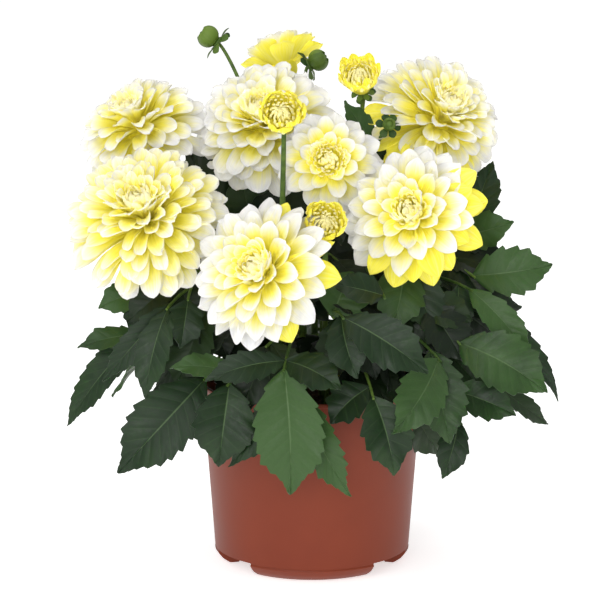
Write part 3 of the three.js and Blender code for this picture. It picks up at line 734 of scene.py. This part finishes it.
def add_leaf(skin, leaf, stem, seed, shade=0.0):
    """A leaf stalk that arches from the stem to its node, and the leaflets along its end."""
    node = vec(*leaf["node"])
    root = stem.at(leaf["from"])
    rise = root + (node - root) * STALK_BEND + UP * np.linalg.norm(node - root) * STALK_CLIMB
    rise[2] = max(rise[2], STALK_CLEAR_Z)
    stalk = bezier([root, rise, node])
    outwards = direction(leaf["heading"], 0) if "heading" in leaf else vec(0, -1, 0)
    facing = outwards + UP * LEAF_LIFT
    add_tube(skin, stalk, np.linspace(*STALK_RADII, len(stalk)), sides=8, tone=chance(seed, 9))
    for index, (x, y, z, width) in enumerate(leaf["leaflets"]):
        share = STALK_SINK - math.ceil(index / 2) * LEAFLET_STEP
        base = (1 - share) ** 2 * root + 2 * share * (1 - share) * rise + share ** 2 * node
        twist = lerp((-LEAF_TWIST, LEAF_TWIST), chance(seed, index))
        wider = 1 if "heading" in leaf else FRONT_WIDER
        add_leaflet(skin, base, vec(x, y, z), width * wider, facing, twist, seed * 3 + index, shade)


# Stems

STEM_FOOT_Z = 106
STEM_RISE_Z = 151
STEM_CLIMB = 0.4
CALYX_GAP = 0.4
CALYX_DEPTH = 0.8
BRACT_REACH = 1.35
BRACTS = 6
INNER_BRACTS = 8
STEM_RADIUS = 3.0
NECK_RADII = {"full": 2.3, "open": 2.3, "cupped": 2.3, "budding": 1.7}
BRANCH_RADII = (1.7, 1.3)
SCALES = 5
SCALE_LEAN = 86
SCALE_BEND = -148
# How far the leaves inside the plant and the shade leaves are darkened towards near black: painted shade.
INNER_SHADE = 0.8
DEEP_SHADE = 0.65

# Closed green buds, by the stem that they branch from. from is how far up that stem it is.
GREEN_BUDS = {
    "middle_top": {"from": 0.75, "heart": (-74, 56, 391), "faces": (-90, 34), "radius": 7.2, "bracts": 2.0},
    "back_cupped": {"from": 0.6, "heart": (0, 70, 372), "faces": (80, 30), "radius": 7, "bracts": 1.9},
    "bud_right": {"from": 0.6, "heart": (56, -30, 337), "faces": (5, 20), "radius": 4, "bracts": 2.6},
}
BUD_SEAT = 0.8


def stem_path(foot, neck_share, heart, axis, cup_r):
    low = vec(*foot, STEM_FOOT_Z)
    rise = vec(*foot, STEM_RISE_Z)
    end = heart + axis * (-CALYX_GAP - cup_r * CALYX_DEPTH / 2)
    climb = rise + UP * (end[2] - rise[2]) * STEM_CLIMB
    neck = end - axis * neck_share * np.linalg.norm(end - rise)
    curve = bezier([rise, climb, neck, end], 160)
    return Path(np.concatenate([np.linspace(low, rise, 12)[:-1], curve]))


def bract(turn, lean, bend, length, half, root_r, root_z, cup=0.15, blunt=0.55, tone=0.5):
    return {
        "turn": turn, "lean": math.radians(lean), "bend": math.radians(bend), "curl": 0.0, "length": length,
        "half": half, "cup": cup, "quill": 0.0, "groove": 0.02, "twist": 0.0, "widest": 0.64, "ruffle": 0.0,
        "blunt": blunt, "root_r": root_r, "root_z": root_z, "tone": tone, "gold": 0.0,
    }


def add_calyx(skin, heart, axis, radius, seed, inner=True, reach=BRACT_REACH):
    """The green cup behind a flower, with bracts that turn back and thin ones that hug the petals."""
    matrix = turn_to(axis)
    add_ball(
        skin, heart - axis * (CALYX_GAP + radius * CALYX_DEPTH * 0.42), radius * 0.92, matrix,
        flatten=0.42, stuff=2, along=0.2, tone=0.5,
    )
    for index in range(BRACTS):
        turn = index * math.pi * 2 / BRACTS + spread(seed, index, 0.2)
        add_petal(
            skin,
            bract(
                turn, 78 + spread(seed + 1, index, 12), 50 + spread(seed + 2, index, 25),
                radius * reach, radius * 0.37 * reach, radius * 0.5, -CALYX_GAP - radius * 0.45,
                tone=0.7 * chance(seed, index),
            ),
            matrix, heart, rows=9, columns=5, thick=0.7, stuff=2,
        )
    if not inner:
        return
    for index in range(INNER_BRACTS):
        turn = (index + 0.5) * math.pi * 2 / INNER_BRACTS
        add_petal(
            skin,
            bract(
                turn, 92, 18, radius * BRACT_REACH, radius * 0.42, radius * 0.4, -CALYX_GAP * 1.5,
                tone=0.9 - 0.3 * chance(seed, index),
            ),
            matrix, heart, rows=8, columns=5, thick=0.5, stuff=2,
        )


def add_green_bud(skin, bud, stem, seed):
    """A closed bud of overlapping scales in its cup of bracts, on a thin branch."""
    axis = direction(*bud["faces"])
    matrix = turn_to(axis)
    heart = vec(*bud["heart"])
    radius = bud["radius"]
    cup_r = radius * BUD_SEAT
    root = stem.at(bud["from"])
    climb = root + (heart - root) * 0.4 + UP * 20
    end = heart - axis * (CALYX_GAP + cup_r * CALYX_DEPTH / 2)
    branch = bezier([root, climb, heart - axis * 12, end], 30)
    add_tube(skin, branch, np.linspace(*BRANCH_RADII, len(branch)), sides=10, tone=0.6)
    add_ball(skin, heart + axis * cup_r, radius * 0.95, matrix, stuff=2, along=0.5, tone=0.7)
    for layer, size in ((0, 0.98), (1, 1.02)):
        for index in range(SCALES):
            turn = (index + layer / 2) * math.pi * 2 / SCALES
            turn += spread(seed, index + layer * SCALES, 0.15)
            add_petal(
                skin,
                bract(
                    turn, SCALE_LEAN, SCALE_BEND, radius * 2.65 * size, radius * 0.62 * size,
                    radius * 0.22, cup_r - radius * size * 0.97, cup=0.32, blunt=0.4,
                    tone=0.55 + 0.4 * chance(seed, index),
                ),
                matrix, heart, rows=12, columns=7, thick=0.5, stuff=2,
            )
    add_calyx(skin, heart, axis, cup_r, seed, inner=False, reach=bud["bracts"])


def make_stem(name, bloom, order, materials):
    style = bloom["style"]
    heart = vec(*bloom["heart"])
    axis = direction(*bloom["faces"])
    cup_r = bloom["diameter"] / 2 * CUP_R[style]
    stem = stem_path(bloom["foot"], NECK_SHARE[style], heart, axis, cup_r)
    skin = Skin()
    shares = np.linspace(0, 1, 60)
    top = NECK_RADII[style]
    radii = np.interp(shares, [0, 0.3, 0.95, 1], [STEM_RADIUS, STEM_RADIUS - 0.1, top, top * 1.25])
    add_tube(skin, stem.at(shares), radii, sides=14, tone=0.5 + 0.3 * chance(order, 3))
    add_calyx(skin, heart, axis, cup_r, order * 7 + 1)
    if name in GREEN_BUDS:
        add_green_bud(skin, GREEN_BUDS[name], stem, order * 5 + 2)
    leaves = list(FRONT_LEAVES.get(name, []))
    leaves += [spread_leaf(numbers, BACK_WIDTHS) for numbers in BACK_LEAVES.get(name, [])]
    for index, leaf in enumerate(leaves):
        add_leaf(skin, leaf, stem, bloom["diameter"] + index)
    for index, numbers in enumerate(INNER_LEAVES.get(name, [])):
        add_leaf(skin, spread_leaf(numbers, INNER_WIDTHS), stem, bloom["diameter"] + 40 + index, INNER_SHADE)
    for index, leaf in enumerate(SHADE_LEAVES.get(name, [])):
        add_leaf(skin, leaf, stem, bloom["diameter"] + 60 + index, DEEP_SHADE)
    piece = skin.piece("foliage_of_" + name, materials, sharp=48)
    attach(piece, "root")
    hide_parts("stem_" + name)


# Pot and soil

POT_HEIGHT = 139
POT_FLOOR_Z = 8
POT_INSIDE_LOW = (72.4, 20)
POT_INSIDE_HIGH = (81.8, POT_HEIGHT)
POT_SIDES = 180
NOTCH_HEADINGS = (-124.25, -55.75, 55.75, 124.25)
NOTCH_ANGLE = 34.5
NOTCH_TOP_Z = 11

# The pot's profile as radius, height and how far its corner is rounded, from the middle of the
# underside, out and up the wall, and down inside.
POT_PROFILE = (
    (0, 4, 0), (57, 4, 0.6), (58, 0, 0.5), (65, 0, 1.2), (71, 4, 2.2), (74.5, 8.8, 0.8), (74.2, 9.6, 0.2),
    (73.8, 10.1, 0.2), (74.3, 10.9, 0.3), (83.6, 136, 0.3), (85, 136.1, 0.5), (85, POT_HEIGHT, 0.9),
    (*POT_INSIDE_HIGH, 0.9), (*POT_INSIDE_LOW, 6), (54, POT_FLOOR_Z, 4), (0, POT_FLOOR_Z, 0),
)


def rounded(profile, steps=4):
    """The profile's points, with each corner replaced by a small curve."""
    points = []
    for index, (r, z, size) in enumerate(profile):
        corner = vec(r, z)
        if not size:
            points.append(corner)
            continue
        before = vec(*profile[index - 1][:2]) - corner
        after = vec(*profile[index + 1][:2]) - corner
        size = min(size, np.linalg.norm(before) * 0.45, np.linalg.norm(after) * 0.45)
        start, end = corner + unit(before) * size, corner + unit(after) * size
        points.extend(bezier([start, corner, end], steps))
    return points


def turned(profile, sides):
    """A closed turned solid as points, quads and triangles. Its first and last points are on the axis."""
    inner = np.array(profile[1:-1])
    around = np.arange(sides) / sides * 2 * math.pi
    ring = np.stack([np.cos(around), np.sin(around)], axis=-1)
    heights = np.repeat(inner[:, None, 1:], sides, 1)
    points = np.concatenate([inner[:, None, :1] * ring[None], heights], axis=2)
    quads, caps = ring_faces(len(inner), sides)
    ends = [[0, 0, profile[0][1]], [0, 0, profile[-1][1]]]
    return np.concatenate([points.reshape(-1, 3), ends]), quads, caps


def wedge(heading):
    """The space between two feet, as a closed block."""
    corners = []
    for z in (-3, NOTCH_TOP_Z):
        for turn, radius in ((1, 56), (-1, 56), (-1, 96), (0, 99), (1, 96)):
            at = direction(heading + turn * NOTCH_ANGLE / 2, 0) * radius
            corners.append((at[0], at[1], z))
    faces = [(0, 4, 3, 2, 1), (5, 6, 7, 8, 9)]
    faces += [(k, (k + 1) % 5, (k + 1) % 5 + 5, k + 5) for k in range(5)]
    mesh = bpy.data.meshes.new("wedge")
    mesh.from_pydata([tuple(np.array(corner) * MM) for corner in corners], [], faces)
    mesh.update()
    block = bpy.data.objects.new("wedge", mesh)
    bpy.context.scene.collection.objects.link(block)
    return block


def make_pot(material):
    skin = Skin()
    points, quads, caps = turned(rounded(POT_PROFILE), POT_SIDES)
    skin.add(points, quads=quads, triangles=caps, tone=0.5)
    pot = skin.piece("pot_shell", [material], sharp=40)
    for heading in NOTCH_HEADINGS:
        cutter = wedge(heading)
        cut = pot.modifiers.new("cut", "BOOLEAN")
        cut.operation = "DIFFERENCE"
        cut.solver = "EXACT"
        cut.object = cutter
        bpy.context.view_layer.objects.active = pot
        with bpy.context.temp_override(object=pot, active_object=pot):
            bpy.ops.object.modifier_apply(modifier=cut.name)
        bpy.data.objects.remove(cutter, do_unlink=True)
    pot.data.set_sharp_from_angle(angle=math.radians(34))
    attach(pot, "root")
    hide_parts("pot")


SOIL_EDGE_Z = 123
SOIL_CROWN = 5
SOIL_CLEARANCE = 0.4
SOIL_SIDES = 120
CRUMBS = 420


def soil_height(x, y, edge_r):
    """The soil's surface: a low crown with lumps, and finer crumbs on them."""
    share = np.sqrt(x * x + y * y) / edge_r
    low = np.sin(x * 0.31 + 1) * np.cos(y * 0.37) + np.sin(x * 0.13 - y * 0.17)
    fine = np.sin(x * 1.1 + y * 0.7) * np.sin(y * 1.3 - x * 0.4) + 0.6 * np.sin(x * 2.1 - y * 1.7)
    return SOIL_EDGE_Z + SOIL_CROWN * (1 - share ** 2) + (low * 1.0 + fine * 0.5) * (1 - share ** 4)


def make_soil(material):
    low, high = POT_INSIDE_LOW, POT_INSIDE_HIGH
    edge_r = low[0] + (SOIL_EDGE_Z - low[1]) * (high[0] - low[0]) / (high[1] - low[1]) - SOIL_CLEARANCE
    rings = np.linspace(0, 1, 44)[1:]
    profile = [vec(0, 8.4), vec(53, 8.4), vec(71.6, 20.2), vec(edge_r, SOIL_EDGE_Z)]
    profile += [vec(edge_r * share, SOIL_EDGE_Z) for share in rings[::-1][1:]] + [vec(0, SOIL_EDGE_Z)]
    points, quads, caps = turned(profile, SOIL_SIDES)
    top = points[:, 2] >= SOIL_EDGE_Z - 1e-6
    points[top, 2] = soil_height(points[top, 0], points[top, 1], edge_r)
    skin = Skin()
    skin.add(points, quads=quads, triangles=caps, tone=0.4)
    for index in range(CRUMBS):
        turn = index * GOLDEN_ANGLE
        out = edge_r * 0.97 * math.sqrt((index + 0.5) / CRUMBS)
        size = 0.7 + 1.7 * chance(3, index) ** 2
        x, y = out * math.cos(turn), out * math.sin(turn)
        z = float(soil_height(np.array(x), np.array(y), edge_r))
        matrix = spin(unit(vec(spread(4, index, 1), spread(5, index, 1), 0.5)), chance(6, index) * 3)
        add_ball(skin, vec(x, y, z), size, matrix, rings=4, sides=6, flatten=0.6, tone=chance(7, index))
    soil = skin.piece("soil_bed", [material], sharp=80)
    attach(soil, "root")
    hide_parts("soil")


# Materials

class Paint:
    """A material's node tree, with short ways to grow it."""

    def __init__(self, name, **sockets):
        self.material = bpy.data.materials.new(name)
        self.material.use_nodes = True
        self.tree = self.material.node_tree
        self.shader = self.tree.nodes["Principled BSDF"]
        for socket, value in sockets.items():
            self.shader.inputs[socket.replace("_", " ")].default_value = value

    def node(self, kind, inputs=(), **settings):
        made = self.tree.nodes.new(kind)
        for key, value in settings.items():
            setattr(made, key, value)
        for key, value in dict(inputs).items():
            if isinstance(value, bpy.types.NodeSocket):
                self.tree.links.new(value, made.inputs[key])
            else:
                made.inputs[key].default_value = value
        return made

    def field(self, name):
        return self.node("ShaderNodeAttribute", attribute_name=name).outputs["Fac"]

    def math(self, operation, *values):
        return self.node("ShaderNodeMath", dict(enumerate(values)), operation=operation).outputs[0]

    def add(self, first, second):
        return self.math("ADD", first, second)

    def times(self, first, second):
        return self.math("MULTIPLY", first, second)

    def vector(self, x, y, z):
        return self.node("ShaderNodeCombineXYZ", {0: x, 1: y, 2: z}).outputs[0]

    def noise(self, vector, scale, detail=3.0, roughness=0.55):
        inputs = {"Vector": vector, "Scale": scale, "Detail": detail, "Roughness": roughness}
        return self.node("ShaderNodeTexNoise", inputs).outputs["Fac"]

    def ease(self, value, low, high, to_low=0.0, to_high=1.0):
        inputs = {"Value": value, "From Min": low, "From Max": high, "To Min": to_low, "To Max": to_high}
        return self.node("ShaderNodeMapRange", inputs, interpolation_type="SMOOTHSTEP").outputs[0]

    def mix(self, share, first, second, blend="MIX"):
        made = self.node("ShaderNodeMix", data_type="RGBA", blend_type=blend)
        for key, value in ((0, share), (6, first), (7, second)):
            if isinstance(value, bpy.types.NodeSocket):
                self.tree.links.new(value, made.inputs[key])
            else:
                made.inputs[key].default_value = value
        return made.outputs[2]

    def place(self):
        return self.node("ShaderNodeTexCoord").outputs["Object"]

    def colour(self, socket):
        self.tree.links.new(socket, self.shader.inputs["Base Color"])

    def rough(self, socket):
        self.tree.links.new(socket, self.shader.inputs["Roughness"])

    def bump(self, height, strength, distance):
        inputs = {"Height": height, "Strength": strength, "Distance": distance}
        made = self.node("ShaderNodeBump", inputs)
        self.tree.links.new(made.outputs[0], self.shader.inputs["Normal"])


def paint_rgb(red, green, blue):
    """A screen colour from 0 to 255 as the light that it stands for."""
    return tuple(((part / 255 + 0.055) / 1.055) ** 2.4 for part in (red, green, blue)) + (1.0,)


def petal_material(name, white, yellow, throat, centre):
    paint = Paint(
        name, Roughness=0.55, IOR=1.4, Specular_IOR_Level=0.25, Subsurface_Weight=0.7,
        Subsurface_Radius=(1.0, 1.0, 0.85), Subsurface_Scale=0.006, Sheen_Weight=0.1,
    )
    paint.shader.subsurface_method = "BURLEY"
    along, across, tone, gold, eye, under = (
        paint.field(field) for field in ("along", "across", "tone", "gold", "eye", "under")
    )
    streak = paint.noise(
        paint.vector(paint.times(across, 4.0), along, paint.times(tone, 37.0)), 1.6
    )
    middle = paint.times(paint.math("ABSOLUTE", across), -0.1)
    reach = paint.add(paint.add(gold, middle), paint.times(streak, 0.34))
    yellowness = paint.ease(paint.math("SUBTRACT", reach, along), -0.1, 0.34)
    # Bluish grey patches, placed by noise on the white tips, stand for the lavender tint of the petals in
    # shade: painted shade.
    painted_shade_tint = paint.ease(paint.noise(paint.place(), 90.0, 2.0), 0.35, 0.7)
    tip = paint.mix(painted_shade_tint, white, paint_rgb(214, 214, 218))
    tip = paint.mix(eye, tip, centre)
    soft = paint.mix(paint.ease(streak, 0.4, 0.7, 0.0, 0.6), yellow, paint_rgb(244, 237, 140))
    body = paint.mix(yellowness, tip, soft)
    pale = paint.times(under, paint.math("SUBTRACT", 0.5, paint.times(yellowness, 0.5)))
    body = paint.mix(pale, body, paint_rgb(226, 224, 212))
    deep = paint.ease(along, 0.34, 0.0, 0.0, 0.8)
    ribs = paint.noise(
        paint.vector(paint.times(across, 14.0), along, paint.times(tone, 91.0)), 1.3, 2.0
    )
    stripes = paint.ease(ribs, 0.44, 0.66, 0.0, 0.5)
    body = paint.mix(stripes, body, (0.88, 0.87, 0.82, 1.0), "MULTIPLY")
    paint.colour(paint.mix(deep, body, throat))
    paint.bump(ribs, 0.3, 0.0006)
    return paint.material


def leaf_material():
    paint = Paint(
        "leaf", IOR=1.45, Specular_IOR_Level=0.32, Subsurface_Weight=0.08,
        Subsurface_Radius=(0.5, 1.0, 0.3), Subsurface_Scale=0.002, Sheen_Weight=0.05,
    )
    row, across, tone, under, shade = (
        paint.field(field) for field in ("along", "across", "tone", "under", "eye")
    )
    place = paint.place()
    patches = paint.noise(place, 38.0, 3.0)
    fine = paint.noise(place, 420.0, 2.0)
    light = paint.add(paint.times(patches, 0.7), paint.times(tone, paint.times(tone, 0.7)))
    base = paint.mix(paint.ease(light, 0.35, 0.95), paint_rgb(20, 38, 18), paint_rgb(58, 86, 42))
    size = paint.math("ABSOLUTE", across)
    phase = paint.math("FRACT", row)
    beside = paint.math("ABSOLUTE", paint.math("SUBTRACT", phase, paint.math("ROUND", phase)))
    vein = paint.ease(beside, 0.07, 0.015)
    vein = paint.times(vein, paint.ease(size, 1.0, 0.7))
    rib = paint.ease(size, 0.045, 0.012)
    lines = paint.math("MAXIMUM", rib, paint.times(vein, 0.13))
    base = paint.mix(paint.times(lines, 0.5), base, paint_rgb(96, 122, 78))
    base = paint.mix(paint.times(fine, 0.25), base, paint_rgb(30, 62, 22))
    base = paint.mix(paint.times(under, 0.55), base, paint_rgb(58, 80, 50))
    # Painted shade: leaves with a shade share are mixed towards near black.
    base = paint.mix(shade, base, paint_rgb(8, 18, 7))
    paint.colour(base)
    paint.rough(paint.ease(fine, 0.3, 0.7, 0.36, 0.5))
    height = paint.math("SUBTRACT", paint.times(fine, 0.35), lines)
    paint.bump(height, 0.35, 0.0007)
    return paint.material


GREEN_SKIN = {
    "Roughness": 0.5, "IOR": 1.45, "Specular_IOR_Level": 0.35, "Subsurface_Weight": 0.1,
    "Subsurface_Radius": (0.6, 1.0, 0.3), "Subsurface_Scale": 0.002,
}


def stalk_material():
    paint = Paint("stalk", **GREEN_SKIN)
    tone = paint.field("tone")
    streak = paint.noise(paint.place(), 140.0, 3.0)
    paint.colour(paint.mix(
        paint.ease(paint.add(streak, paint.times(tone, 0.4)), 0.4, 1.0),
        paint_rgb(54, 80, 32), paint_rgb(98, 124, 52),
    ))
    paint.bump(streak, 0.2, 0.0004)
    return paint.material


def bract_material():
    paint = Paint("bract", **GREEN_SKIN)
    tone, across = paint.field("tone"), paint.field("across")
    streak = paint.noise(
        paint.vector(paint.times(across, 7.0), paint.field("along"), tone), 2.0, 2.0
    )
    paint.colour(paint.mix(
        paint.ease(paint.add(paint.times(streak, 0.5), tone), 0.4, 1.3),
        paint_rgb(38, 68, 26), paint_rgb(104, 130, 48),
    ))
    paint.bump(streak, 0.2, 0.0004)
    return paint.material


def pot_material():
    paint = Paint("terracotta_plastic", IOR=1.46, Specular_IOR_Level=0.3)
    place = paint.place()
    cloud = paint.noise(place, 14.0, 3.0)
    grain = paint.noise(place, 900.0, 2.0)
    colour = paint.mix(paint.ease(cloud, 0.3, 0.7), paint_rgb(120, 48, 25), paint_rgb(127, 53, 29))
    paint.colour(paint.mix(paint.times(grain, 0.12), colour, paint_rgb(92, 42, 30)))
    paint.rough(paint.ease(cloud, 0.3, 0.7, 0.44, 0.52))
    paint.bump(grain, 0.05, 0.0002)
    return paint.material


def soil_material():
    paint = Paint("peat", Roughness=0.95, Specular_IOR_Level=0.15)
    place = paint.place()
    tone = paint.field("tone")
    grain = paint.noise(place, 300.0, 6.0, 0.7)
    colour = paint.mix(
        paint.ease(paint.add(grain, paint.times(tone, 0.3)), 0.4, 0.9),
        paint_rgb(34, 24, 18), paint_rgb(84, 62, 46),
    )
    paint.colour(colour)
    paint.bump(grain, 0.8, 0.001)
    return paint.material


# Studio

def area_light(name, place, look_at, size, power):
    light = bpy.data.lights.new(name, "AREA")
    light.shape = "DISK"
    light.size = size
    light.energy = power
    lamp = bpy.data.objects.new(name, light)
    lamp.location = place
    aim = vec(*look_at) - vec(*place)
    lamp.rotation_euler = (
        math.atan2(math.hypot(aim[0], aim[1]), -aim[2]),
        0,
        math.atan2(aim[1], aim[0]) - math.pi / 2,
    )
    bpy.context.scene.collection.objects.link(lamp)


# Each light's place, the point that it faces, its size and its power, in metres and watts.
LIGHTS = {
    "key": ((-1.3, -1.6, 1.9), (0, 0, 0.25), 2.4, 20),
    "top": ((0.1, 0.1, 2.4), (0, 0, 0.2), 1.6, 11.5),
    "front": ((-0.3, -2.6, 0.9), (0, 0, 0.25), 1.5, 21.5),
}
WORLD_STRENGTH = 0.48
WHITE = (1, 1, 1, 1)
FLOOR_REACH = 12
FLOOR_COLOUR = (0.93, 0.93, 0.93, 1)
FLOOR_GLOW = 0.6
CAMERA_PLACE = (-9.1, -1963.3, 582.1)
CAMERA_PITCH = 11
CAMERA_LENS = 158.7
CAMERA_SENSOR = 36


def make_studio():
    scene = bpy.context.scene
    scene.view_settings.view_transform = "Standard"
    world = bpy.data.worlds.new("studio")
    world.use_nodes = True
    world.node_tree.nodes["Background"].inputs["Color"].default_value = WHITE
    world.node_tree.nodes["Background"].inputs["Strength"].default_value = WORLD_STRENGTH
    scene.world = world
    for name, facts in LIGHTS.items():
        area_light(name, *facts)
    floor_mesh = bpy.data.meshes.new("floor")
    reach = FLOOR_REACH
    corners = [(-reach, -reach, 0), (reach, -reach, 0), (reach, reach, 0), (-reach, reach, 0)]
    floor_mesh.from_pydata(corners, [], [(0, 1, 2, 3)])
    floor = bpy.data.objects.new("floor", floor_mesh)
    scene.collection.objects.link(floor)
    floor_paint = Paint("pale_floor", Roughness=0.9, Specular_IOR_Level=0.1)
    floor_paint.shader.inputs["Base Color"].default_value = FLOOR_COLOUR
    floor_paint.shader.inputs["Emission Color"].default_value = WHITE
    floor_paint.shader.inputs["Emission Strength"].default_value = FLOOR_GLOW
    floor_mesh.materials.append(floor_paint.material)
    camera_data = bpy.data.cameras.new("camera")
    camera_data.lens = CAMERA_LENS
    camera_data.sensor_width = CAMERA_SENSOR
    camera_data.clip_end = 100
    camera = bpy.data.objects.new("camera", camera_data)
    camera.location = vec(*CAMERA_PLACE) * MM
    camera.rotation_euler = (math.radians(90 - CAMERA_PITCH), 0, 0)
    scene.collection.objects.link(camera)
    scene.camera = camera


make_studio()
white_petals = petal_material(
    "petal", paint_rgb(227, 226, 224), paint_rgb(244, 234, 76), paint_rgb(242, 230, 46),
    centre=paint_rgb(247, 240, 196),
)
yellow_petals = petal_material(
    "bud_petal", paint_rgb(240, 230, 140), paint_rgb(236, 224, 50), paint_rgb(222, 210, 44),
    centre=paint_rgb(240, 230, 126),
)
green = [stalk_material(), leaf_material(), bract_material()]
for order, (bloom_name, bloom_facts) in enumerate(BLOOMS.items()):
    chosen = yellow_petals if bloom_facts["style"] == "budding" else white_petals
    make_bloom(bloom_name, bloom_facts, order, chosen)
    make_stem(bloom_name, bloom_facts, order, green)
make_pot(pot_material())
make_soil(soil_material())
